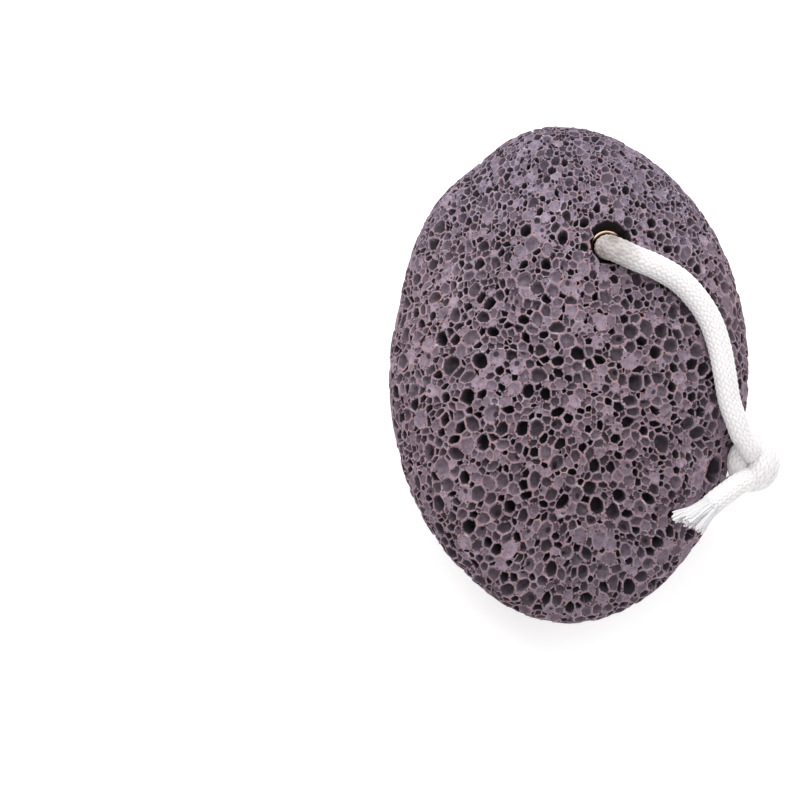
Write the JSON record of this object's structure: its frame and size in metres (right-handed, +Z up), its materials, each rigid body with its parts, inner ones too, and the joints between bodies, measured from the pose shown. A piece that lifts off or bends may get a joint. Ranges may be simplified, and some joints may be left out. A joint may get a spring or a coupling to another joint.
{
  "type": "pumice stone on a cord",
  "caption": "Oval lump of bubbly volcanic stone with a sleeved hole through its narrow end and a knotted loop of braided cotton cord.",
  "frame": {"origin": "on the surface that the stone rests on, under the middle of the stone's box", "axes": "+X across the stone, +Y along it towards the end with the hole, +Z up through its thickness"},
  "size_m": [0.0782, 0.0998, 0.0484],
  "materials": {
    "pumice": "rough open bubbles, mauve grey with pale tan rims and near black hollows",
    "sleeve": "satin brass, slightly dulled",
    "cord": "matte white cotton braid"
  },
  "bodies": {
    "root": {"stone": "pumice", "hole_sleeve": "sleeve", "cord_loop": "cord", "cord_knot": "cord", "cord_end_upper": "cord", "cord_end_lower": "cord"}
  },
  "joints": []
}
